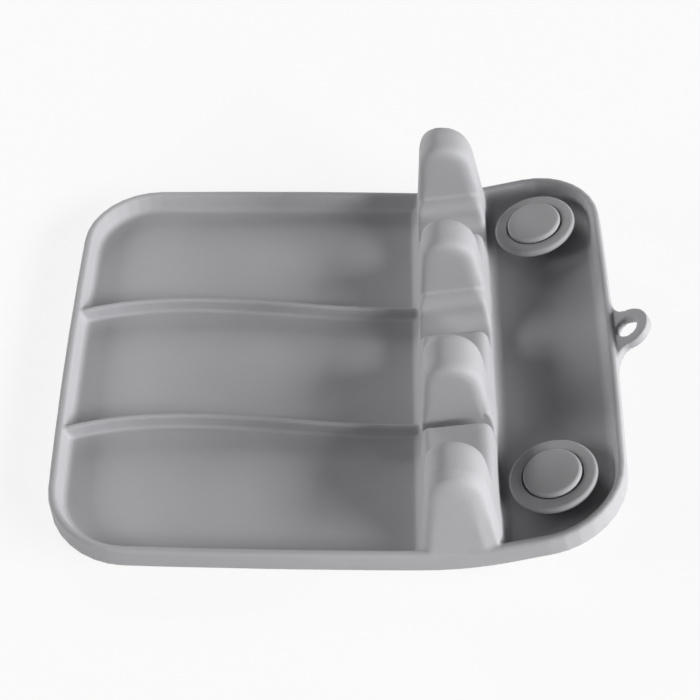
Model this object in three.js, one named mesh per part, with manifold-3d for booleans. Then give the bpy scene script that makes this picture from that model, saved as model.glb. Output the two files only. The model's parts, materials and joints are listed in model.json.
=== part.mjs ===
// A silicone spoon rest: a drip tray with wavy ribs, a comb of four towers that holds the handles, and a
// raised wing that stands on two push-in suction feet. Millimetres, +Z up, +X from the tray to the wing, +Y to
// the back. The origin is in the middle of the tray's flat underside.
import * as THREE from "three";
import { mergeVertices } from "three/addons/utils/BufferGeometryUtils.js";
import Module from "manifold-3d";

const wasm = await Module();
wasm.setup();

// Tray and wing
const TRAY_LENGTH = 143; // left rim to the foot of the comb
const TRAY_DEPTH = 200; // near rim to far rim, at the middle of the bowed sides
const WING_LENGTH = 49.2; // foot of the comb to the right rim, along the wing
const WING_RISE_DEG = 16.5; // slope of the wing, taken up by a bend under the comb
const CORNER_RADIUS = 30;
const SIDE_BOW = 2; // how far each side swells outwards at its middle
const FLOOR_THICK = 3;
const RIM_HEIGHT = 10;
const RIM_WIDTH = 3.3;
const RIM_EDGE = 1.2; // rounding of the rim's edges and of the outer bottom edge
const OUTER_LEAN = 0.4; // how far the outside of the wall leans out from foot to rim
const INNER_LEAN = 1.2; // how far the inside of the wall leans in from rim to floor
const FLOOR_FILLET = 2.4;

// Ribs between the compartments
const RIB_THICK = 2;
const RIB_HEIGHT = 6; // above the floor
const RIB_SPACING = 64;
const RIB_OFFSET = 6.4; // their left ends lie this far in front of the even spacing
const RIB_BULGE = 8.3; // how far the wave swings to the back
const WAVE_PULLS = [0, 2.1, 0.1, 0.45]; // where its curve is drawn to at each third of the way, in bulges

// Comb
const COMB_FOOT = 32.2; // width where it stands on the tray
const COMB_HEIGHT = 50.4; // underside of the tray to the tower tops, along the comb's own axis
const COMB_LEAN_DEG = 7; // the propped wing tips the comb over the tray
const COMB_DRAFT_DEG = 7; // lean of its two long sides
const COMB_WALL = 3.2; // it is hollow underneath
const COMB_SINK = 0.75; // its foot reaches this far into the floor
const COMB_INSET = 1.6; // the end towers stand this far inside the outline
const TOWER_DEPTHS = [18.4, 16.8, 20, 21.4]; // from the back one to the front one
const NOTCH_GAPS = [39.5, 47.2, 33.5]; // between them, in proportion: they take what the towers leave
const CREST_SHIFT = 2; // the towers' crests lie this far towards the tray
const TOWER_EDGE = 4; // rounding round a tower's front and back faces
const TRAY_SIDE_EDGE = 1.6; // the same down the side towards the tray
const END_EDGE = 6.5; // the same on the outer faces of the end towers
const FOOT_COVE = 6; // hollow rounding along both feet, before it sinks in
const RIDGE_INSET = 0.2; // the ridge's sides lie this far inside the towers' sides
const SADDLE_HEIGHT = 24; // top of the ridge between towers, at the comb's axis
const SADDLE_FALL_DEG = 3; // the ridge's top drains to the tray
const SADDLE_EDGES = [2.6, 5.2]; // rounding of the ridge's edges, towards the tray and towards the wing
const WELL_LENGTH = 22.4; // wells sunk into the ridge between the towers, across the comb
const WELL_DEPTH = 17;
const WELL_WIDTHS = [17, 17, 5]; // from the back notch to the front one
const WELL_LEDGES = [6.2, 6.2, -0.5]; // from each well to the face of the tower behind it
const WELL_EDGE = 3; // rounding of the ledge's edge
const WELL_FILLET = 2; // rounding of the well's bottom edges

// Hanging lug on the right rim
const LUG_REACH = 5.5; // rim to the middle of the hole
const LUG_RADIUS = 9.2;
const LUG_HOLE = 9;
const LUG_ROOT = 44; // width where it leaves the rim
const LUG_THICK = 4;
const LUG_DROP = 1.6; // its root lies this far below the top of the rim
const LUG_TILT_DEG = 18; // it turns up from the wing's slope

// Suction feet
const FOOT_EDGE = 31.5; // near or far rim to the axis
const FOOT_SETBACK = 20.9; // foot of the comb to the axis, along the wing
const FLANGE_DIAMETER = 34;
const FLANGE_THICK = 3.2;
const FLANGE_STAND_OFF = 3; // the foot can drop this far in its hole when the tray is lifted
const BUTTON_DIAMETER = 22.4;
const BUTTON_THICK = 3;
const BUTTON_EDGE = 1.1; // rounding of the button's and the flange's edges
const NECK_DIAMETER = 14; // in the wing's hole
const POST_DIAMETER = 10; // through the flange
const CUP_DIAMETER = 29;
const CUP_LIP = 1.6;
const CUP_ROOF = 4; // thickness over the hollow
const RUNNING_GAP = 0.5; // neck to hole
const SEAT_GAP = 0.3; // between a piece and what it seats on

// Fineness of the curves
const CORNER_STEPS = 8;
const SIDE_STEPS = 5;
const BEND_STEPS = 5;
const RIB_STEPS = 16;
const ARC_STEPS = 10;
const EDGE_STEPS = 2;
const ROUND_STEPS = 28;
const WELD = 1e-4;
const CUT_PAST = 8; // cuts run this far past what they cut

const SILICONE = { color: 0xa9acb0, roughness: 0.55, metalness: 0 };
const FOOT_SILICONE = { color: 0x9fa3a8, roughness: 0.5, metalness: 0 };

const rise = THREE.MathUtils.degToRad(WING_RISE_DEG);
const draft = Math.tan(THREE.MathUtils.degToRad(COMB_DRAFT_DEG));
const draftCos = Math.cos(Math.atan(draft));
const bendStart = TRAY_LENGTH / 2;
const bendEnd = bendStart + COMB_FOOT;
const bendRadius = COMB_FOOT / rise;
const leftEnd = -TRAY_LENGTH / 2;
const rightEnd = bendEnd + WING_LENGTH;

// Frame on the underside of the bent sheet, a length s along it: X follows the sheet and Z stands square to it.
function sheetFrame(s) {
  const turn = rise * THREE.MathUtils.clamp((s - bendStart) / COMB_FOOT, 0, 1);
  const past = Math.max(s - bendEnd, 0);
  const x = Math.min(s, bendStart) + bendRadius * Math.sin(turn) + past * Math.cos(turn);
  const z = bendRadius * (1 - Math.cos(turn)) + past * Math.sin(turn);
  return new THREE.Matrix4().makeRotationY(-turn).setPosition(x, 0, z);
}

// Joined corner points of a geometry, three to a triangle.
function cornersOf(geometry) {
  const flat = geometry.index ? geometry.toNonIndexed() : geometry;
  const place = flat.getAttribute("position");
  return Array.from({ length: place.count }, (_, i) => new THREE.Vector3().fromBufferAttribute(place, i));
}

// Closed geometry as a solid for joining and cutting.
function solidOf(geometry) {
  const merged = mergeVertices(new THREE.BufferGeometry().setFromPoints(cornersOf(geometry)), WELD);
  const triangles = [];
  for (let i = 0; i < merged.index.count; i += 3) {
    const [a, b, c] = merged.index.array.slice(i, i + 3);
    if (a !== b && b !== c && c !== a) triangles.push(a, b, c);
  }
  const vertProperties = merged.getAttribute("position").array;
  return new wasm.Manifold(new wasm.Mesh({ numProp: 3, vertProperties, triVerts: new Uint32Array(triangles) }));
}

// Solid back to a geometry.
function geometryOf(solid) {
  const { vertProperties, triVerts } = solid.getMesh();
  const geometry = new THREE.BufferGeometry();
  geometry.setAttribute("position", new THREE.BufferAttribute(new Float32Array(vertProperties), 3));
  geometry.setIndex(new THREE.BufferAttribute(new Uint32Array(triVerts), 1));
  geometry.computeVertexNormals();
  return geometry;
}

// Closed skin through rings that run anticlockwise seen from the end of the list. Each end is closed by strips
// that zip the ring's two halves together, from the point named seam on.
function loft(rings, seam = 0) {
  const corners = [];
  const count = rings[0].length;
  const cap = (ring, turned) => {
    const at = (i) => ring[(i + 2 * count) % count];
    for (let k = 0; k < count / 2 - 1; k++) {
      const [a, b, c, d] = [at(seam + k), at(seam + k + 1), at(seam - k - 2), at(seam - k - 1)];
      if (turned) corners.push(a, d, c, a, c, b);
      else corners.push(a, b, c, a, c, d);
    }
  };
  cap(rings[0], true);
  cap(rings.at(-1), false);
  for (let k = 1; k < rings.length; k++) {
    const [low, high] = [rings[k - 1], rings[k]];
    low.forEach((p, i) => {
      const next = (i + 1) % count;
      corners.push(p, low[next], high[next], p, high[next], high[i]);
    });
  }
  return new THREE.BufferGeometry().setFromPoints(corners);
}

// Splits the triangles that cross x = at, so that the sheet can fold along that line.
function creased(corners, at) {
  const half = (triangle, side) => {
    const kept = [];
    triangle.forEach((p, i) => {
      const q = triangle[(i + 1) % 3];
      const here = side * (p.x - at);
      const there = side * (q.x - at);
      if (here >= 0) kept.push(p);
      if (here * there < 0) kept.push(p.clone().lerp(q, here / (here - there)));
    });
    return kept;
  };
  const split = [];
  for (let i = 0; i < corners.length; i += 3) {
    for (const side of [-1, 1]) {
      const kept = half(corners.slice(i, i + 3), side);
      for (let k = 2; k < kept.length; k++) split.push(kept[0], kept[k - 1], kept[k]);
    }
  }
  return split;
}

// The flat sheet laid along the bend.
function bent(geometry) {
  let corners = cornersOf(geometry);
  for (let i = 0; i <= BEND_STEPS; i++) corners = creased(corners, bendStart + (COMB_FOOT * i) / BEND_STEPS);
  return new THREE.BufferGeometry().setFromPoints(
    corners.map((p) => new THREE.Vector3(0, p.y, p.z).applyMatrix4(sheetFrame(p.x))),
  );
}

// Polygon with its corners rounded, each by its own radius.
function roundedPolygon(points, radii) {
  const shape = new THREE.Shape();
  points.forEach((corner, i) => {
    const before = points.at(i - 1);
    const after = points[(i + 1) % points.length];
    const towards = (end) => end.clone().sub(corner).setLength(radii[i]).add(corner);
    const start = radii[i] ? towards(before) : corner;
    if (i === 0) shape.moveTo(start.x, start.y);
    else shape.lineTo(start.x, start.y);
    if (radii[i]) shape.quadraticCurveTo(corner.x, corner.y, towards(after).x, towards(after).y);
  });
  return shape.closePath();
}

// Outline drawn up along Z.
function extrudeUp(outline, height) {
  return new THREE.ExtrudeGeometry(outline, { depth: height, curveSegments: ARC_STEPS, bevelEnabled: false });
}

// Section in X and Z drawn out along Y, centred.
function extrudeAlongY(section, depth) {
  return extrudeUp(section, depth).rotateX(Math.PI / 2).translate(0, depth / 2, 0);
}

// Plan outline of the sheet, drawn in by an inset: a round-cornered oblong whose sides swell a little.
function outlineRing(inset, height) {
  const middle = (leftEnd + rightEnd) / 2;
  const halfX = (rightEnd - leftEnd) / 2;
  const halfY = TRAY_DEPTH / 2;
  const radius = CORNER_RADIUS - inset;
  const swell = (share) => SIDE_BOW * (1 - share * share);
  const corner = (sx, sy) => new THREE.Vector2(sx * (halfX - SIDE_BOW - CORNER_RADIUS),
    sy * (halfY - SIDE_BOW - CORNER_RADIUS));
  const plain = [corner(1, 1), corner(-1, 1), corner(-1, -1), corner(1, -1)].flatMap((centre, quarter) =>
    Array.from({ length: CORNER_STEPS + 1 }, (_, k) => {
      const angle = (Math.PI / 2) * (quarter + k / CORNER_STEPS);
      return new THREE.Vector2(radius * Math.cos(angle), radius * Math.sin(angle)).add(centre);
    }),
  );
  const ring = plain.flatMap((p, i) => {
    const next = plain[(i + 1) % plain.length];
    const steps = i % (CORNER_STEPS + 1) === CORNER_STEPS ? SIDE_STEPS : 1;
    return Array.from({ length: steps }, (_, k) => p.clone().lerp(next, k / steps));
  });
  return ring.map((p) => {
    const shareX = p.x / halfX;
    const shareY = p.y / halfY;
    return new THREE.Vector3(middle + p.x + shareX * swell(shareY), p.y + shareY * swell(shareX), height);
  });
}

// Floor and rim: the wall's profile carried round the outline, then bent under the comb.
function sheetSolid() {
  const innerFoot = RIM_WIDTH + INNER_LEAN;
  const profile = new THREE.Path();
  profile.moveTo(OUTER_LEAN + RIM_EDGE, 0);
  profile.quadraticCurveTo(OUTER_LEAN, 0, OUTER_LEAN, RIM_EDGE);
  profile.lineTo(0, RIM_HEIGHT - RIM_EDGE);
  profile.quadraticCurveTo(0, RIM_HEIGHT, RIM_EDGE, RIM_HEIGHT);
  profile.lineTo(RIM_WIDTH - RIM_EDGE, RIM_HEIGHT);
  profile.quadraticCurveTo(RIM_WIDTH, RIM_HEIGHT, RIM_WIDTH, RIM_HEIGHT - RIM_EDGE);
  profile.lineTo(innerFoot, FLOOR_THICK + FLOOR_FILLET);
  profile.quadraticCurveTo(innerFoot, FLOOR_THICK, innerFoot + FLOOR_FILLET, FLOOR_THICK);
  const rings = profile.getPoints(EDGE_STEPS).map((p) => outlineRing(p.x, p.y));
  return solidOf(bent(loft(rings, Math.ceil(-SIDE_STEPS / 2) + 1)));
}

// The two wavy ribs, each a band along one swing of a curve, from the left wall into the comb.
function ribSolid(side) {
  const start = leftEnd + RIM_WIDTH / 2;
  const length = bendStart + COMB_WALL / 2 - start;
  const foot = (side * RIB_SPACING) / 2 - RIB_OFFSET;
  const curve = new THREE.CubicBezierCurve(...WAVE_PULLS.map((bulges, third) =>
    new THREE.Vector2(start + (length * third) / 3, foot + bulges * RIB_BULGE)));
  const edge = (way) =>
    Array.from({ length: RIB_STEPS + 1 }, (_, k) => {
      const tangent = curve.getTangent(k / RIB_STEPS);
      return curve.getPoint(k / RIB_STEPS).add(new THREE.Vector2(-tangent.y, tangent.x).multiplyScalar(way));
    });
  const band = new THREE.Shape([...edge(-RIB_THICK / 2), ...edge(RIB_THICK / 2).reverse()]);
  return solidOf(extrudeUp(band, RIB_HEIGHT + FLOOR_THICK / 2).translate(0, 0, FLOOR_THICK / 2));
}

// Comb section: two leaning sides under a top of two arcs that meet at the crest.
function archSection(left, right, height, base) {
  const sin = draft * draftCos;
  const lean = Math.atan(draft);
  const arc = (half, from, to) => {
    const radius = (half * draftCos - height * sin) / (1 - sin);
    return Array.from({ length: ARC_STEPS + 1 }, (_, k) => {
      const angle = THREE.MathUtils.lerp(from, to, k / ARC_STEPS);
      return new THREE.Vector2(radius * Math.cos(angle) - CREST_SHIFT, height - radius * (1 - Math.sin(angle)));
    });
  };
  return [
    new THREE.Vector2(right - base * draft, base),
    ...arc(right + CREST_SHIFT, lean, Math.PI / 2),
    ...arc(left - CREST_SHIFT, Math.PI / 2, Math.PI - lean).slice(1),
    new THREE.Vector2(base * draft - left, base),
  ];
}

// Arch drawn out along Y from one face to the other, with the edges of both faces rounded.
function archBlock(footHalf, height, base, { back, front, backEdge, frontEdge }) {
  const traySide = TRAY_SIDE_EDGE / TOWER_EDGE;
  const bead = new THREE.Path();
  bead.moveTo(backEdge, back);
  bead.quadraticCurveTo(0, back, 0, back - backEdge);
  bead.lineTo(0, front + frontEdge);
  bead.quadraticCurveTo(0, front, frontEdge, front);
  const rings = bead.getPoints(EDGE_STEPS).map(({ x: inset, y }) => {
    const left = footHalf - (traySide * inset) / draftCos;
    const right = footHalf - inset / draftCos;
    return archSection(left, right, height - inset, base).map((p) => new THREE.Vector3(p.x, y, p.y));
  });
  return loft(rings);
}

// Comb section cut off at the saddle between towers, its top falling to the tray.
function saddleSection(footHalf, height, base) {
  const fall = Math.tan(THREE.MathUtils.degToRad(SADDLE_FALL_DEG));
  const top = footHalf - height * draft;
  const left = -top / (1 - fall * draft);
  const right = top / (1 + fall * draft);
  const foot = footHalf - base * draft;
  return roundedPolygon(
    [
      new THREE.Vector2(-foot, base),
      new THREE.Vector2(foot, base),
      new THREE.Vector2(right, height + right * fall),
      new THREE.Vector2(left, height + left * fall),
    ],
    [0, 0, SADDLE_EDGES[1], SADDLE_EDGES[0]],
  );
}

const combLean = THREE.MathUtils.degToRad(COMB_LEAN_DEG);
const combMiddle = new THREE.Vector3().setFromMatrixPosition(sheetFrame(bendStart + COMB_FOOT / 2));
const combFrame = new THREE.Matrix4().makeRotationY(-combLean).setPosition(combMiddle);
const combEnd = TRAY_DEPTH / 2 - COMB_INSET;
const total = (sizes) => sizes.reduce((sum, size) => sum + size, 0);
const notchStretch = (2 * combEnd - total(TOWER_DEPTHS)) / total(NOTCH_GAPS);
const towers = TOWER_DEPTHS.map((depth, i) => {
  const back = combEnd - total(TOWER_DEPTHS.slice(0, i)) - notchStretch * total(NOTCH_GAPS.slice(0, i));
  return {
    back,
    front: back - depth,
    backEdge: i === 0 ? END_EDGE : TOWER_EDGE,
    frontEdge: i === TOWER_DEPTHS.length - 1 ? END_EDGE : TOWER_EDGE,
  };
});

const wells = WELL_WIDTHS.map((width, notch) => {
  const back = towers[notch].front - WELL_LEDGES[notch];
  return { back, front: back - width };
});

// One well in the ridge, open at the top, with the edge of the ledge behind it well rounded.
function wellSolid({ back, front }) {
  const top = SADDLE_HEIGHT + WELL_EDGE / 3;
  const bottom = SADDLE_HEIGHT - WELL_DEPTH;
  const shape = new THREE.Shape();
  shape.moveTo(front, top + CUT_PAST);
  shape.lineTo(front, bottom + WELL_FILLET);
  shape.quadraticCurveTo(front, bottom, front + WELL_FILLET, bottom);
  shape.lineTo(back - WELL_FILLET, bottom);
  shape.quadraticCurveTo(back, bottom, back, bottom + WELL_FILLET);
  shape.lineTo(back, top - WELL_EDGE);
  shape.quadraticCurveTo(back, top, back + WELL_EDGE, top);
  shape.lineTo(back + WELL_EDGE, top + CUT_PAST);
  const across = new THREE.Matrix4().makeBasis(
    new THREE.Vector3(0, 1, 0), new THREE.Vector3(0, 0, 1), new THREE.Vector3(1, 0, 0),
  );
  const cutter = extrudeUp(shape.closePath(), WELL_LENGTH).translate(0, 0, -WELL_LENGTH / 2);
  return solidOf(cutter.applyMatrix4(across).applyMatrix4(combFrame));
}

// Hollow rounding along one foot of the comb, in the corner between its side and the floor.
function coveSolid(side) {
  const sheet = sheetFrame(side < 0 ? bendStart : bendEnd);
  const section = (v) => new THREE.Vector2(v.x, v.z);
  const ground = section(new THREE.Vector3(0, 0, FLOOR_THICK).applyMatrix4(sheet));
  const out = section(new THREE.Vector3(side, 0, 0).transformDirection(sheet));
  const foot = section(new THREE.Vector3((side * COMB_FOOT) / 2, 0, 0).applyMatrix4(combFrame));
  const up = section(new THREE.Vector3(-side * draft, 0, 1).transformDirection(combFrame));
  const climb = ground.clone().sub(foot).cross(out) / up.cross(out);
  const corner = foot.clone().addScaledVector(up, climb);
  const at = (away, high) => corner.clone().addScaledVector(out, away).addScaledVector(up, high);
  const curve = new THREE.QuadraticBezierCurve(
    at(FOOT_COVE, -COMB_SINK), at(-COMB_SINK, -COMB_SINK), at(-COMB_SINK, FOOT_COVE),
  );
  const buried = [
    at(-2 * COMB_SINK, FOOT_COVE), at(-2 * COMB_SINK, -2 * COMB_SINK), at(FOOT_COVE, -2 * COMB_SINK),
  ];
  return solidOf(extrudeAlongY(new THREE.Shape([...curve.getPoints(ARC_STEPS), ...buried]), 2 * combEnd));
}

// Ridge with its wells, the towers on it and the coves along its feet.
function combSolid() {
  const footHalf = COMB_FOOT / 2;
  const base = FLOOR_THICK - COMB_SINK;
  const section = saddleSection(footHalf - RIDGE_INSET, SADDLE_HEIGHT, base);
  let comb = solidOf(extrudeAlongY(section, 2 * (combEnd - END_EDGE)).applyMatrix4(combFrame));
  for (const well of wells) comb = comb.subtract(wellSolid(well));
  for (const tower of towers) {
    comb = comb.add(solidOf(archBlock(footHalf, COMB_HEIGHT, base, tower).applyMatrix4(combFrame)));
  }
  for (const side of [-1, 1]) comb = comb.add(coveSolid(side));
  return comb;
}

// Hollows in the comb, open underneath: one from well to well, with a pocket up into its tower.
function combHollow() {
  const footHalf = COMB_FOOT / 2 - COMB_WALL / draftCos;
  const base = -CUT_PAST;
  const channel = saddleSection(footHalf - RIDGE_INSET, SADDLE_HEIGHT - COMB_WALL, base);
  const parts = towers.flatMap(({ back, front, backEdge, frontEdge }, i) => {
    const from = (wells[i - 1]?.front ?? back) - COMB_WALL;
    const to = (wells[i]?.back ?? front) + COMB_WALL;
    const pocket = archBlock(footHalf, COMB_HEIGHT - COMB_WALL, base, {
      back: back - COMB_WALL,
      front: front + COMB_WALL,
      backEdge: Math.max(backEdge - COMB_WALL, 0),
      frontEdge: Math.max(frontEdge - COMB_WALL, 0),
    });
    return [extrudeAlongY(channel, from - to).translate(0, (from + to) / 2, 0), pocket];
  });
  return parts
    .map((part) => solidOf(part.applyMatrix4(combFrame)))
    .reduce((hollow, part) => hollow.add(part));
}

// Hanging lug: a tab that flares into the rim and is rounded about its hole.
function lugSolid() {
  const half = LUG_ROOT / 2;
  const root = -RIM_WIDTH / 2;
  const shape = new THREE.Shape();
  shape.moveTo(root, -half);
  shape.quadraticCurveTo(0, -LUG_RADIUS, LUG_REACH, -LUG_RADIUS);
  shape.absarc(LUG_REACH, 0, LUG_RADIUS, -Math.PI / 2, Math.PI / 2, false);
  shape.quadraticCurveTo(0, LUG_RADIUS, root, half);
  const hole = new THREE.Path().absarc(LUG_REACH, 0, LUG_HOLE / 2, 0, 2 * Math.PI, true);
  shape.closePath().holes.push(hole);
  const lug = extrudeUp(shape, LUG_THICK).translate(0, 0, -LUG_THICK);
  lug.rotateY(-THREE.MathUtils.degToRad(LUG_TILT_DEG)).translate(0, 0, RIM_HEIGHT - LUG_DROP);
  return solidOf(lug.applyMatrix4(sheetFrame(rightEnd)));
}

const footAlong = bendEnd + FOOT_SETBACK;
const footMiddle = new THREE.Vector3().setFromMatrixPosition(sheetFrame(footAlong));

// A foot's own group, at the middle of its hole on the underside of the wing, with Z along the hole.
function footGroup(side) {
  const group = new THREE.Group();
  group.position.set(footMiddle.x, side * (TRAY_DEPTH / 2 - FOOT_EDGE), footMiddle.z);
  group.rotation.y = -rise;
  group.updateMatrix();
  return group;
}

// Round hole through the wing for a foot's neck.
function footHole(side) {
  const radius = NECK_DIAMETER / 2 + RUNNING_GAP;
  const drill = new THREE.CylinderGeometry(radius, radius, FLOOR_THICK + 2 * CUT_PAST, ROUND_STEPS);
  return solidOf(drill.rotateX(Math.PI / 2).applyMatrix4(footGroup(side).matrix));
}

function trayBody() {
  let body = sheetSolid().add(combSolid()).add(lugSolid());
  for (const side of [1, -1]) body = body.add(ribSolid(side));
  body = body.subtract(combHollow());
  for (const side of [1, -1]) body = body.subtract(footHole(side));
  return geometryOf(body);
}

// Heights on a foot's axis, up from the underside of the wing
const flangeBottom = FLOOR_THICK + FLANGE_STAND_OFF;
const flangeTop = flangeBottom + FLANGE_THICK;
const buttonBottom = flangeTop + SEAT_GAP;
const buttonTop = buttonBottom + BUTTON_THICK;

// Suction foot: button, post and neck along the hole, then a cup that turns level to lie flat on the worktop.
function suctionFoot() {
  const turnRadius = footMiddle.z / Math.sin(rise);
  const reach = turnRadius * rise;
  const shoulder = -SEAT_GAP;
  const cup = CUP_DIAMETER / 2;
  const neck = NECK_DIAMETER / 2;
  const post = POST_DIAMETER / 2;
  const button = BUTTON_DIAMETER / 2;
  const profile = new THREE.Path();
  profile.moveTo(post / 2, shoulder - CUP_ROOF);
  profile.quadraticCurveTo(cup - 2 * CUP_LIP, shoulder - CUP_ROOF, cup - CUP_LIP, -reach);
  profile.lineTo(cup, -reach);
  profile.quadraticCurveTo(cup - CUP_LIP, shoulder, neck, shoulder);
  profile.lineTo(neck, flangeBottom - SEAT_GAP);
  profile.lineTo(post, flangeBottom - SEAT_GAP);
  profile.lineTo(post, buttonBottom);
  profile.lineTo(button - BUTTON_EDGE / 2, buttonBottom);
  profile.quadraticCurveTo(button, buttonBottom, button, buttonBottom + BUTTON_EDGE / 2);
  profile.lineTo(button, buttonTop - BUTTON_EDGE);
  profile.quadraticCurveTo(button, buttonTop, button - BUTTON_EDGE, buttonTop);
  const tilt = new THREE.Matrix4();
  const rings = profile.getPoints(2 * EDGE_STEPS).map((p) => {
    const turn = Math.max(-p.y, 0) / turnRadius;
    tilt.makeRotationY(turn).setPosition(turnRadius * (Math.cos(turn) - 1), 0, -turnRadius * Math.sin(turn));
    return Array.from({ length: ROUND_STEPS }, (_, k) => {
      const angle = (2 * Math.PI * k) / ROUND_STEPS;
      const up = Math.max(p.y, 0);
      return new THREE.Vector3(p.x * Math.cos(angle), p.x * Math.sin(angle), up).applyMatrix4(tilt);
    });
  });
  return geometryOf(solidOf(loft(rings)));
}

// Flange disc that sits on the neck's shoulder, held down by the button.
function footFlange() {
  const outer = FLANGE_DIAMETER / 2;
  const bore = POST_DIAMETER / 2 + SEAT_GAP;
  const profile = new THREE.Path();
  profile.moveTo(bore, flangeBottom);
  profile.lineTo(outer - BUTTON_EDGE, flangeBottom);
  profile.quadraticCurveTo(outer, flangeBottom, outer, flangeBottom + BUTTON_EDGE);
  profile.lineTo(outer, flangeTop - BUTTON_EDGE);
  profile.quadraticCurveTo(outer, flangeTop, outer - BUTTON_EDGE, flangeTop);
  profile.lineTo(bore, flangeTop);
  profile.lineTo(bore, flangeBottom);
  const ring = new THREE.LatheGeometry(profile.getPoints(EDGE_STEPS), ROUND_STEPS).rotateX(Math.PI / 2);
  return geometryOf(solidOf(ring));
}

function piece(name, geometry, finish) {
  const mesh = new THREE.Mesh(geometry, new THREE.MeshStandardMaterial(finish));
  mesh.name = name;
  return mesh;
}

const spoonRest = new THREE.Group();
spoonRest.add(piece("tray_body", trayBody(), SILICONE));
for (const [place, side] of [["rear", 1], ["front", -1]]) {
  const foot = footGroup(side);
  foot.add(piece(`suction_foot_${place}`, suctionFoot(), FOOT_SILICONE));
  foot.add(piece(`foot_flange_${place}`, footFlange(), FOOT_SILICONE));
  spoonRest.add(foot);
}

export default spoonRest;
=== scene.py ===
"""Looks of a grey silicone spoon rest: the moulded tray with its comb, and the suction feet of its wing."""
import json
import logging
import math
from dataclasses import dataclass
from enum import Enum
from typing import Any

import bpy
from mathutils import Matrix, Vector

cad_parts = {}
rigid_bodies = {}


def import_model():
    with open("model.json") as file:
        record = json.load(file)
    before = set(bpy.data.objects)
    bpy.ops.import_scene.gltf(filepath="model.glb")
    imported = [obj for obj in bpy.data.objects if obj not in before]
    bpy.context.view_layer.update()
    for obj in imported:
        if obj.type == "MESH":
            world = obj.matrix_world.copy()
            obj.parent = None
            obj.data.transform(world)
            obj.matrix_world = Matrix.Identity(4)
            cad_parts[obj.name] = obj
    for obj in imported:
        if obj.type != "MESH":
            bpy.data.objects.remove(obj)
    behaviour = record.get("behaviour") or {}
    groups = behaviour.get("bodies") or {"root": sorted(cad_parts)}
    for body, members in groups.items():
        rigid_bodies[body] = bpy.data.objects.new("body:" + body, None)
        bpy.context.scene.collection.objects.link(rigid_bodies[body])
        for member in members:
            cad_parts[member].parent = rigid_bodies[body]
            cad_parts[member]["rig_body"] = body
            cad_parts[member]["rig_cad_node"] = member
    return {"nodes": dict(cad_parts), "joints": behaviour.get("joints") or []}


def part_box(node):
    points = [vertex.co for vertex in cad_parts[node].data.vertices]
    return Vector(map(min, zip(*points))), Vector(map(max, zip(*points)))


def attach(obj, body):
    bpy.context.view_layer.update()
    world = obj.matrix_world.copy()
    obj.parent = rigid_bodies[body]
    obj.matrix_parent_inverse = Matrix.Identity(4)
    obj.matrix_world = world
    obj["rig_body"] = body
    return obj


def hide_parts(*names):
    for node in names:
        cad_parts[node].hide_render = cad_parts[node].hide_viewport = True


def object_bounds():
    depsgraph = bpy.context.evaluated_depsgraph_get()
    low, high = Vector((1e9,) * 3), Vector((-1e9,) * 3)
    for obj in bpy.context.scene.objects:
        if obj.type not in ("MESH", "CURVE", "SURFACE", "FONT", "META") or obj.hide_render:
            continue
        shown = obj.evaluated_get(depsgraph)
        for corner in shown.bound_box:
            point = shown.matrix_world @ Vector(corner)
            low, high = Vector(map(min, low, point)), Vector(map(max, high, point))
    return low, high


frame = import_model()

MM = 0.001
CAD_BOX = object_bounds()
LOG = logging.getLogger("spoon_rest")
WHITE = (1, 1, 1, 1)

# Points of a mesh that are nearer to each other than this become one
MERGE_DISTANCE = 0.001 * MM

# Place on a section, as Y and Z, or on a turned profile, as radius and height
Point = tuple[float, float]

# Sockets of a mix node's colours, which share their names with those of its other kinds of value
MIX_FACTOR, MIX_FIRST, MIX_SECOND, MIX_RESULT = 0, 6, 7, 2

# Camera of the photograph, fitted to the object's edges
EYE = Vector((48.95, -550.4, 598.8)) * MM
AIM = Vector((43.43, 4.36, 10.0)) * MM
ROLL_DEG = 0.15
SENSOR_MM = 36.0
LENS_MM = 102.96


class Side(Enum):
    """Which of the wing's two feet a piece belongs to."""

    REAR = "rear"
    FRONT = "front"


def linear(colour: str) -> tuple[float, float, float, float]:
    """Turn an sRGB hex colour into linear light, by the standard's curve.

    Args:
        colour: Six hex digits after a hash mark.

    Returns:
        Red, green, blue and an alpha of one.
    """
    shares = [int(colour[i:i + 2], 16) / 255 for i in (1, 3, 5)]
    bent = [s / 12.92 if s <= 0.04045 else ((s + 0.055) / 1.055) ** 2.4 for s in shares]
    return (*bent, 1.0)


def add_node(tree: bpy.types.NodeTree, kind: str, inputs: dict[Any, Any] | None = None,
             **settings: Any) -> bpy.types.Node:
    """Add one node with its settings and links.

    Args:
        tree: Node tree that the node goes into.
        kind: Blender's type name of the node.
        inputs: Value of an input socket, or the output socket that it is linked to, by name or number.
        **settings: Properties of the node itself.

    Returns:
        The new node.
    """
    node = tree.nodes.new(kind)
    for name, value in settings.items():
        setattr(node, name, value)
    for name, value in (inputs or {}).items():
        if isinstance(value, bpy.types.NodeSocket):
            tree.links.new(value, node.inputs[name])
        else:
            node.inputs[name].default_value = value
    return node


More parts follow.
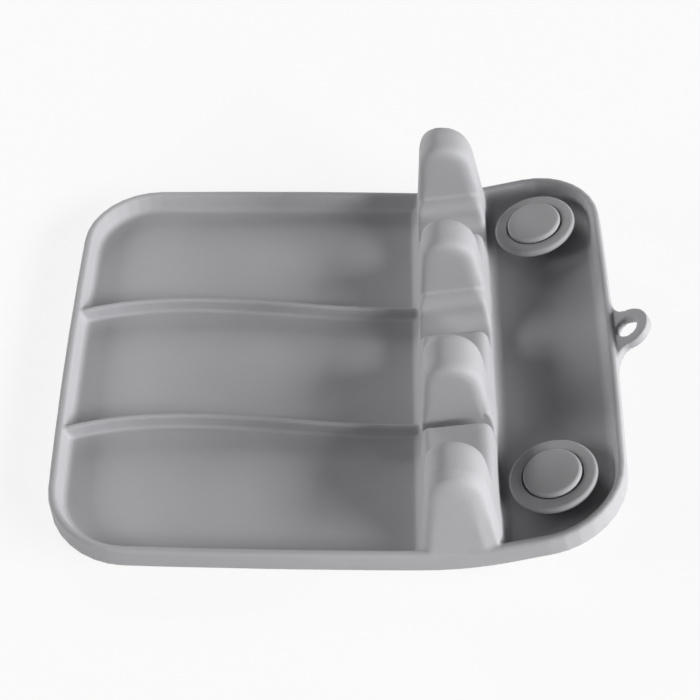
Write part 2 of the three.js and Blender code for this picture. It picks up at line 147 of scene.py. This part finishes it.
@dataclass(frozen=True)
class MouldedSilicone:
    """Moulded silicone rubber, cured in a blasted steel mould.

    The mould leaves a fine even grain, so the surface is satin: it shows broad soft highlights and no
    clear reflections, and the pigment clouds a little where the rubber flowed.
    """

    name: str
    pale: str
    deep: str
    roughness_low: float = 0.58
    roughness_high: float = 0.70
    ior: float = 1.41
    specular: float = 0.3
    sheen: float = 0.05
    sheen_roughness: float = 0.5
    cloud_mm: float = 38.0
    handling_mm: float = 9.0
    grain_mm: float = 0.9
    grain_height_mm: float = 0.018

    def material(self) -> bpy.types.Material:
        """Build the node material.

        Returns:
            The material, on Object coordinates in metres.
        """
        material = bpy.data.materials.new(self.name)
        material.use_nodes = True
        tree = material.node_tree
        tree.nodes.clear()
        place = add_node(tree, "ShaderNodeTexCoord").outputs["Object"]
        cloud = add_node(tree, "ShaderNodeTexNoise", {
            "Vector": place, "Scale": 1 / (self.cloud_mm * MM), "Detail": 3.0, "Roughness": 0.55,
        })
        tint = add_node(tree, "ShaderNodeMix", {
            MIX_FACTOR: cloud.outputs["Fac"], MIX_FIRST: linear(self.deep), MIX_SECOND: linear(self.pale),
        }, data_type="RGBA")
        handling = add_node(tree, "ShaderNodeTexNoise", {
            "Vector": place, "Scale": 1 / (self.handling_mm * MM), "Detail": 4.0, "Roughness": 0.6,
        })
        gloss = add_node(tree, "ShaderNodeMapRange", {
            "Value": handling.outputs["Fac"], "To Min": self.roughness_low, "To Max": self.roughness_high,
        })
        # The real grain is a tenth of this and would not show at the render's size
        grain = add_node(tree, "ShaderNodeTexNoise", {
            "Vector": place, "Scale": 1 / (self.grain_mm * MM), "Detail": 2.0,
        })
        bump = add_node(tree, "ShaderNodeBump", {
            "Height": grain.outputs["Fac"], "Distance": self.grain_height_mm * MM, "Strength": 1.0,
        })
        shader = add_node(tree, "ShaderNodeBsdfPrincipled", {
            "Base Color": tint.outputs[MIX_RESULT], "Roughness": gloss.outputs[0], "Normal": bump.outputs[0],
            "IOR": self.ior, "Specular IOR Level": self.specular,
            "Sheen Weight": self.sheen, "Sheen Roughness": self.sheen_roughness,
        })
        add_node(tree, "ShaderNodeOutputMaterial", {"Surface": shader.outputs[0]})
        return material


TRAY_SILICONE = MouldedSilicone("moulded_silicone_cool_grey", pale="#B2B2B5", deep="#AAAAAD")
FOOT_SILICONE = MouldedSilicone("moulded_silicone_foot_grey", pale="#A6A6A8", deep="#9E9EA0", cloud_mm=14.0)


def only(piece: bpy.types.Object) -> None:
    """Select one object alone and make it the active one."""
    bpy.ops.object.select_all(action="DESELECT")
    piece.select_set(True)
    bpy.context.view_layer.objects.active = piece


def finish_modifier(piece: bpy.types.Object, kind: str, **settings: Any) -> None:
    """Add a modifier to a piece and apply it.

    Args:
        piece: The piece, which becomes the selected one.
        kind: Blender's type name of the modifier.
        **settings: Properties of the modifier.
    """
    only(piece)
    bpy.ops.object.modifier_add(type=kind)
    modifier = piece.modifiers[-1]
    for name, value in settings.items():
        setattr(modifier, name, value)
    bpy.ops.object.modifier_apply(modifier=modifier.name)


def settle(piece: bpy.types.Object, body: str, slot: str, *nodes: str) -> None:
    """Hand a finished piece to the frame.

    Args:
        piece: The piece, in its place.
        body: Body of the frame that it moves with.
        slot: Material slot of the record; not used.
        *nodes: Nodes of the frame that it stands for.
    """
    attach(piece, body)
    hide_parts(*nodes)
    LOG.info("%s: %d faces, on %s", piece.name, len(piece.data.polygons), body)


def bar(name: str, section: list[Point], half_length: float, place: Matrix) -> bpy.types.Object:
    """Model a bar of one section: a ring is filled and drawn out along X.

    Args:
        name: Name of the bar.
        section: Corners of the section in Y and Z, in order.
        half_length: Reach to either side of the section's middle.
        place: Frame that the bar is drawn in.

    Returns:
        The bar in its place.
    """
    bpy.ops.object.select_all(action="DESELECT")
    bpy.ops.mesh.primitive_circle_add(vertices=len(section), radius=1, location=(0, 0, 0))
    piece = bpy.context.object
    piece.name = piece.data.name = name
    for vertex, (across, up) in zip(piece.data.vertices, section):
        vertex.co = (-half_length, across, up)
    bpy.ops.object.mode_set(mode="EDIT")
    bpy.ops.mesh.select_all(action="SELECT")
    bpy.ops.mesh.edge_face_add()
    bpy.ops.mesh.extrude_region_move(TRANSFORM_OT_translate={"value": (2 * half_length, 0, 0)})
    bpy.ops.mesh.select_all(action="SELECT")
    bpy.ops.mesh.normals_make_consistent(inside=False)
    bpy.ops.object.mode_set(mode="OBJECT")
    piece.data.transform(place)
    return piece


@dataclass(frozen=True)
class HandleTrough:
    """Trough across the comb's ridge below a utensil's handle, with a rolled ledge behind it."""

    name: str
    back: float
    front: float
    depth: float = 13.0 * MM
    ledge: float = 6.0 * MM
    ledge_fall: float = 4.5 * MM
    fillet: float = 3.5 * MM
    far_fillet: float = 8.0 * MM
    width_in_fillets: float = 2.5
    arc_steps: int = 8
    clear: float = 20.0 * MM
    overlap: float = 0.8 * MM
    # The solid's straight well, which the trough takes the place of
    well_half_length: float = 11.2 * MM
    well_depth: float = 17.0 * MM

    def arc(self, start: Point, bend: Point, end: Point) -> list[Point]:
        """Quarter of an ellipse on the trough's section.

        Args:
            start: First point.
            bend: Corner that the quarter rounds off.
            end: Last point.

        Returns:
            Points from the first to the last.
        """
        turns = [math.pi / 2 * k / self.arc_steps for k in range(self.arc_steps + 1)]
        return [tuple(b + (a - b) * (1 - math.sin(t)) + (c - b) * (1 - math.cos(t))
                      for a, b, c in zip(start, bend, end)) for t in turns]

    def fill(self, ridge: Matrix) -> bpy.types.Object:
        """Model the block that fills the well, set into its walls all round.

        Args:
            ridge: Frame on the top of the ridge.

        Returns:
            The block.
        """
        back, front = self.back + self.overlap, self.front - self.overlap
        top, bottom = -self.fillet, -self.well_depth - 2 * self.overlap
        section = [(front, bottom), (back, bottom), (back, top), (front, top)]
        return bar(f"{self.name}_fill", section, self.well_half_length + self.overlap, ridge)

    def cutter(self, ridge: Matrix) -> bpy.types.Object:
        """Model the shape that is cut away: upright in front, and rolling down from the ledge behind.

        Args:
            ridge: Frame on the top of the ridge.

        Returns:
            The cutting bar, which runs out at both of the trough's ends.
        """
        back, front, floor = self.back, self.front, -self.depth
        largest = (back - front) / self.width_in_fillets
        near, far = min(self.fillet, largest), min(self.far_fillet, largest)
        section = [(front, self.clear)]
        section += self.arc((front, floor + near), (front, floor), (front + near, floor))
        section += self.arc((back - far, floor), (back, floor), (back, floor + far))
        if self.ledge:
            section += self.arc((back, -self.ledge_fall), (back, 0), (back + self.ledge, 0))
        section += [(back + self.ledge, self.clear)]
        return bar(f"{self.name}_cutter", section, self.clear, ridge)


@dataclass
class TrayMoulding:
    """The one-piece moulding: tray, ribs, comb, wing and lug.

    Every edge is softened, as rubber leaves a mould.
    """

    node: str = "tray_body"
    voxel: float = 0.62 * MM
    soften_rounds: int = 5
    soften_share: float = 0.5
    triangles: int = 190_000
    # Top of the ridge between the towers, as the solid has it
    ridge_middle: Vector = Vector((84.62, 0, 24.98)) * MM
    ridge_fall_deg: float = 10.0
    comb_half_width: float = 20.0 * MM
    troughs: tuple[HandleTrough, ...] = (
        HandleTrough("rear_trough", back=73.8 * MM, front=56.8 * MM),
        HandleTrough("middle_trough", back=17.5 * MM, front=0.5 * MM),
        HandleTrough("front_trough", back=-43.5 * MM, front=-48.0 * MM, ledge=0.0, ledge_fall=0.0),
    )
    # Where the comb is rounded over more than the rest: at the towers' fronts and the troughs' ends
    tower_fronts: tuple[float, ...] = (80.0 * MM, 23.7 * MM, -43.5 * MM, -98.4 * MM)
    tower_foot: float = 1.0 * MM
    trough_end: float = 8.0 * MM
    round_reach: float = 7.0 * MM
    round_rounds: int = 45

    @property
    def ridge(self) -> Matrix:
        """Frame on the top of the ridge between the towers, with X rising to the wing."""
        rise = Matrix.Rotation(-math.radians(self.ridge_fall_deg), 4, "Y")
        return Matrix.Translation(self.ridge_middle) @ rise

    def shape_troughs(self, piece: bpy.types.Object) -> None:
        """Turn the solid's straight wells into the troughs that the handles lie above."""
        for trough in self.troughs:
            tools = {"UNION": trough.fill(self.ridge), "DIFFERENCE": trough.cutter(self.ridge)}
            for operation, tool in tools.items():
                finish_modifier(piece, "BOOLEAN", object=tool, operation=operation, solver="EXACT")
                bpy.data.objects.remove(tool)

    def roundness(self, place: Vector) -> float:
        """How far a place of the comb is rounded over more than the rest.

        Args:
            place: Place in the ridge's frame.

        Returns:
            A weight from nothing to one.
        """
        depth = min(abs(place.y - front) for front in self.tower_fronts)
        lift = (place.z - self.tower_foot) / self.round_reach
        if lift > 0:
            return max(0.0, 1 - (depth / self.round_reach) ** 2) * min(1.0, lift)
        for trough in self.troughs:
            if trough.front < place.y < trough.back + trough.ledge:
                return min(1.0, max(0.0, (place.x - self.trough_end) / self.round_reach))
        return 0.0

    def soften_comb(self, piece: bpy.types.Object) -> None:
        """Round over the towers' front edges and the troughs' ends at the wing.

        Args:
            piece: The moulding, with its fine mesh.
        """
        group = piece.vertex_groups.new(name="rounded_over")
        to_ridge = self.ridge.inverted()
        middle = self.ridge_middle.x
        low, high = middle - self.comb_half_width, middle + self.comb_half_width
        for vertex in piece.data.vertices:
            if low < vertex.co.x < high:
                weight = self.roundness(to_ridge @ vertex.co)
                if weight > 0:
                    group.add([vertex.index], weight, "REPLACE")
        finish_modifier(piece, "SMOOTH", factor=self.soften_share, iterations=self.round_rounds,
                        vertex_group=group.name)
        piece.vertex_groups.clear()

    def build(self) -> bpy.types.Object:
        """Copy the frame's solid, close it, shape its troughs and round its edges.

        Returns:
            The piece, at the origin with its place in its mesh.
        """
        piece = frame["nodes"][self.node].copy()
        piece.data = piece.data.copy()
        piece.name = piece.data.name = "silicone_tray"
        piece.parent = None
        # The marks that the frame's own solid carries
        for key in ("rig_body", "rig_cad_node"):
            del piece[key]
        bpy.context.scene.collection.objects.link(piece)
        only(piece)
        bpy.ops.object.mode_set(mode="EDIT")
        bpy.ops.mesh.select_all(action="SELECT")
        bpy.ops.mesh.remove_doubles(threshold=MERGE_DISTANCE)
        bpy.ops.object.mode_set(mode="OBJECT")
        self.shape_troughs(piece)
        finish_modifier(piece, "REMESH", mode="VOXEL", voxel_size=self.voxel)
        finish_modifier(piece, "SMOOTH", factor=self.soften_share, iterations=self.soften_rounds)
        self.soften_comb(piece)
        count = sum(len(face.vertices) - 2 for face in piece.data.polygons)
        finish_modifier(piece, "DECIMATE", ratio=min(1.0, self.triangles / count))
        bpy.ops.object.shade_smooth()
        return piece

    def dress(self, piece: bpy.types.Object) -> None:
        """Give the moulding its finish and its place in the frame."""
        piece.data.materials.clear()
        piece.data.materials.append(TRAY_SILICONE.material())
        settle(piece, "tray", "tray_silicone", self.node)


@dataclass
class SuctionFoot:
    """A push-in foot: a button and a flange above the wing, and a neck with a suction cup below it."""

    side: Side
    segments: int = 96
    edge_steps: int = 6
    smooth_angle_deg: float = 35.0
    floor_thick: float = 3.0 * MM
    stand_off: float = 3.0 * MM
    flange_thick: float = 3.2 * MM
    button_radius: float = 11.2 * MM
    button_thick: float = 3.0 * MM
    edge: float = 1.3 * MM
    ring_rise: float = 1.5 * MM
    groove: float = 0.7 * MM
    neck_radius: float = 7.0 * MM
    post_radius: float = 5.0 * MM
    cup_radius: float = 14.5 * MM
    cup_lip: float = 1.6 * MM
    cup_roof: float = 4.0 * MM
    seat_gap: float = 0.3 * MM

    @property
    def body(self) -> str:
        """Body of the frame that the foot is."""
        return f"{self.side.value}_foot"

    @property
    def axis(self) -> Vector:
        """Direction of the foot's hole, up from the wing."""
        joint = next(j for j in frame["joints"] if j["child"] == self.body)
        return Vector(joint["axis"]).normalized()

    @property
    def flange_box(self) -> tuple[Vector, Vector]:
        """Low and high corner of the flange's solid."""
        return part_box(f"foot_flange_{self.side.value}")

    @property
    def flange_radius(self) -> float:
        """Radius of the flange, whose tilt leaves its width along Y as it is."""
        low, high = self.flange_box
        return (high.y - low.y) / 2

    @property
    def frame_matrix(self) -> Matrix:
        """Frame at the middle of the hole on the wing's underside, with Z along the hole."""
        low, high = self.flange_box
        middle = (low + high) / 2
        up = self.floor_thick + self.stand_off + self.flange_thick / 2
        turn = Vector((0, 0, 1)).rotation_difference(self.axis).to_matrix().to_4x4()
        return Matrix.Translation(middle - up * self.axis) @ turn

    def rounding(self, radius: float, height: float, size: float, start_deg: float) -> list[Point]:
        """Quarter round on a profile.

        Args:
            radius: Distance of the round's centre from the axis.
            height: Height of the round's centre.
            size: Radius of the round.
            start_deg: Direction where the round starts; it turns a quarter to the left.

        Returns:
            Stations of radius and height.
        """
        turns = [math.radians(start_deg + 90 * k / self.edge_steps) for k in range(self.edge_steps + 1)]
        return [(radius + size * math.cos(t), height + size * math.sin(t)) for t in turns]

    def swept(self, start: Point, bend: Point, end: Point) -> list[Point]:
        """Curve of a cup's wall on the profile.

        Args:
            start: First station.
            bend: Station that the curve is drawn towards.
            end: Last station.

        Returns:
            Stations of radius and height along the curve.
        """
        steps = 2 * self.edge_steps
        shares = [k / steps for k in range(steps + 1)]
        return [tuple((1 - t) ** 2 * a + 2 * t * (1 - t) * b + t * t * c
                      for a, b, c in zip(start, bend, end)) for t in shares]

    def turned(self, name: str, stations: list[Point], closed: bool) -> bpy.types.Object:
        """Model a round piece ring by ring: a circle is extruded and resized along a profile.

        Args:
            name: Name of the piece.
            stations: Radius and height of each ring.
            closed: Whether the last ring joins the first; otherwise a flat face closes each end.

        Returns:
            The piece, standing on the world's Z axis.
        """
        bpy.ops.object.select_all(action="DESELECT")
        radius, height = stations[0]
        bpy.ops.mesh.primitive_circle_add(vertices=self.segments, radius=radius, location=(0, 0, 0))
        piece = bpy.context.object
        piece.name = piece.data.name = name
        bpy.ops.object.mode_set(mode="EDIT")
        bpy.ops.mesh.select_all(action="SELECT")
        bpy.ops.transform.translate(value=(0, 0, height))
        if not closed:
            bpy.ops.mesh.edge_face_add()
        for after_radius, after_height in stations[1:] + stations[:1] * closed:
            rise = (0, 0, after_height - height)
            bpy.ops.mesh.extrude_region_move(TRANSFORM_OT_translate={"value": rise})
            share = after_radius / radius
            bpy.ops.transform.resize(value=(share, share, 1), center_override=(0, 0, after_height))
            radius, height = after_radius, after_height
        bpy.ops.mesh.select_all(action="SELECT")
        bpy.ops.mesh.remove_doubles(threshold=MERGE_DISTANCE)
        bpy.ops.mesh.normals_make_consistent(inside=False)
        bpy.ops.object.mode_set(mode="OBJECT")
        return piece

    def build_flange(self) -> bpy.types.Object:
        """Model the flange disc, with both outer edges rounded and its ring raised round the button.

        Returns:
            The flange in its place.
        """
        bottom = self.floor_thick + self.stand_off
        top = bottom + self.flange_thick
        ring_bottom, ring_top = bottom + self.ring_rise, top + self.ring_rise
        bore = self.post_radius + self.seat_gap
        inner = self.button_radius + self.groove
        outer = self.flange_radius - self.edge
        half = self.groove / 2
        stations = [(bore, bottom), (self.neck_radius, bottom), (self.neck_radius + self.edge, ring_bottom)]
        stations += self.rounding(outer, ring_bottom + self.edge, self.edge, -90)
        stations += self.rounding(outer, ring_top - self.edge, self.edge, 0)
        stations += self.rounding(inner + half, ring_top - half, half, 90)
        stations += [(inner, top), (bore, top)]
        piece = self.turned(f"flange_disc_{self.side.value}", stations, closed=True)
        piece.data.transform(self.frame_matrix)
        return piece

    def build_foot(self) -> bpy.types.Object:
        """Model the button, post, neck and cup in one, then turn the cup level with the worktop.

        Returns:
            The foot in its place.
        """
        place = self.frame_matrix
        lean = self.axis.angle(Vector((0, 0, 1)))
        turn_radius = place.translation.z / math.sin(lean)
        reach = turn_radius * lean
        shoulder = -self.seat_gap
        roof = shoulder - self.cup_roof
        inner = self.cup_radius - self.cup_lip
        half = self.edge / 2
        flange_bottom = self.floor_thick + self.stand_off
        neck_top = flange_bottom - self.seat_gap
        button_bottom = flange_bottom + self.flange_thick + self.seat_gap
        button_top = button_bottom + self.button_thick
        neck_foot = (self.neck_radius + half, shoulder)
        stations = [(self.post_radius / 4, roof)]
        stations += self.swept((self.post_radius / 2, roof), (inner - self.cup_lip, roof), (inner, -reach))
        stations += self.swept((self.cup_radius, -reach), (inner, shoulder), neck_foot)
        stations += [(self.neck_radius, shoulder + half / 2), (self.neck_radius, neck_top - half)]
        stations += [(self.neck_radius - half, neck_top), (self.post_radius, neck_top)]
        stations += [(self.post_radius, button_bottom)]
        stations += self.rounding(self.button_radius - half, button_bottom + half, half, -90)
        stations += self.rounding(self.button_radius - self.edge, button_top - self.edge, self.edge, 0)
        stations += [(self.button_radius / 2, button_top)]
        piece = self.turned(f"suction_foot_{self.side.value}_soft", stations, closed=False)
        for vertex in piece.data.vertices:
            vertex.co = self.levelled(vertex.co, turn_radius)
        piece.data.transform(place)
        return piece

    @staticmethod
    def levelled(point: Vector, turn_radius: float) -> Vector:
        """Carry a point below the wing round the neck's bend.

        Args:
            point: Place in the hole's frame.
            turn_radius: Radius of the bend.

        Returns:
            The place after the bend.
        """
        turn = max(-point.z, 0) / turn_radius
        along = turn_radius + point.x
        out = along * math.cos(turn) - turn_radius
        up = max(point.z, 0) - along * math.sin(turn)
        return Vector((out, point.y, up))

    def build(self) -> list[bpy.types.Object]:
        """Model both pieces of the foot."""
        pieces = [self.build_foot(), self.build_flange()]
        for piece in pieces:
            only(piece)
            bpy.ops.object.shade_smooth_by_angle(angle=math.radians(self.smooth_angle_deg))
        return pieces

    def dress(self, pieces: list[bpy.types.Object]) -> None:
        """Give the foot's pieces their finish and their place in the frame."""
        material = FOOT_SILICONE.material()
        for piece, node in zip(pieces, ("suction_foot", "foot_flange")):
            piece.data.materials.append(material)
            settle(piece, self.body, "foot_silicone", f"{node}_{self.side.value}")


@dataclass(frozen=True)
class SoftBox:
    """A flat studio light, aimed at the object."""

    name: str
    azimuth_deg: float
    height_deg: float
    width: float
    height: float
    watts: float
    distance: float = 1.3

    def build(self) -> None:
        """Set the light up on a sphere round the middle of the object."""
        turn, lift = math.radians(self.azimuth_deg), math.radians(self.height_deg)
        out = Vector((math.sin(turn) * math.cos(lift), -math.cos(turn) * math.cos(lift), math.sin(lift)))
        bpy.ops.object.light_add(type="AREA", location=AIM + self.distance * out)
        light = bpy.context.object
        light.name = self.name
        light.rotation_euler = out.to_track_quat("Z", "Y").to_euler()
        light.data.shape = "RECTANGLE"
        light.data.size = self.width
        light.data.size_y = self.height
        light.data.energy = self.watts


@dataclass
class Studio:
    """White paper floor, soft lights and the camera."""

    floor_size: float = 6.0
    floor_drop: float = 0.05 * MM
    floor_colour: str = "#F4F4F4"
    floor_glow: float = 0.85
    lights: tuple[SoftBox, ...] = (
        SoftBox("key_softbox", azimuth_deg=72, height_deg=21.5, width=2.6, height=0.46, watts=98,
                distance=2.4),
        SoftBox("rear_softbox", azimuth_deg=207, height_deg=19, width=0.5, height=0.35, watts=5.4),
        SoftBox("left_softbox", azimuth_deg=278, height_deg=19, width=0.9, height=0.3, watts=8.4),
        SoftBox("front_softbox", azimuth_deg=345, height_deg=22, width=1.0, height=0.3, watts=0.6),
    )

    def build(self) -> None:
        """Set up the whole studio."""
        self.build_floor()
        self.build_world()
        for light in self.lights:
            light.build()
        self.build_camera()

    def build_floor(self) -> None:
        """Lay the paper floor, which shows nearly white and keeps a faint shadow."""
        bpy.ops.object.select_all(action="DESELECT")
        level = CAD_BOX[0][2] - self.floor_drop
        bpy.ops.mesh.primitive_plane_add(size=self.floor_size, location=(0, 0, level))
        floor = bpy.context.object
        floor.name = "paper_floor"
        material = bpy.data.materials.new("white_paper")
        material.use_nodes = True
        tree = material.node_tree
        tree.nodes.clear()
        paper = add_node(tree, "ShaderNodeBsdfDiffuse", {"Color": linear(self.floor_colour)})
        glow = add_node(tree, "ShaderNodeEmission", {"Color": WHITE, "Strength": 1.0})
        path = add_node(tree, "ShaderNodeLightPath")
        share = add_node(tree, "ShaderNodeMath", {
            0: path.outputs["Is Camera Ray"], 1: self.floor_glow,
        }, operation="MULTIPLY")
        mixed = add_node(tree, "ShaderNodeMixShader", {
            0: share.outputs[0], 1: paper.outputs[0], 2: glow.outputs[0],
        })
        add_node(tree, "ShaderNodeOutputMaterial", {"Surface": mixed.outputs[0]})
        floor.data.materials.append(material)

    def build_world(self) -> None:
        """Show white behind the object and in its highlights, with no other light from all round."""
        world = bpy.data.worlds.new("white_studio")
        bpy.context.scene.world = world
        world.use_nodes = True
        tree = world.node_tree
        tree.nodes.clear()
        path = add_node(tree, "ShaderNodeLightPath")
        seen = add_node(tree, "ShaderNodeMath", {
            0: path.outputs["Is Camera Ray"], 1: path.outputs["Is Glossy Ray"],
        }, operation="MAXIMUM")
        sky = add_node(tree, "ShaderNodeBackground", {"Color": WHITE, "Strength": seen.outputs[0]})
        add_node(tree, "ShaderNodeOutputWorld", {"Surface": sky.outputs[0]})

    def build_camera(self) -> None:
        """Stand the camera where the photograph was taken from."""
        bpy.ops.object.camera_add(location=EYE)
        camera = bpy.context.object
        camera.name = "photo_camera"
        look = (AIM - EYE).to_track_quat("-Z", "Y").to_matrix().to_4x4()
        camera.rotation_euler = (look @ Matrix.Rotation(math.radians(ROLL_DEG), 4, "Z")).to_euler()
        camera.data.sensor_width = SENSOR_MM
        camera.data.lens = LENS_MM
        bpy.context.scene.camera = camera


def main() -> None:
    """Build the object and the studio in order."""
    logging.basicConfig(level=logging.INFO)
    bpy.context.scene.view_settings.view_transform = "Standard"
    tray = TrayMoulding()
    tray.dress(tray.build())
    for side in Side:
        foot = SuctionFoot(side)
        foot.dress(foot.build())
    Studio().build()


if __name__ == "__main__":
    main()
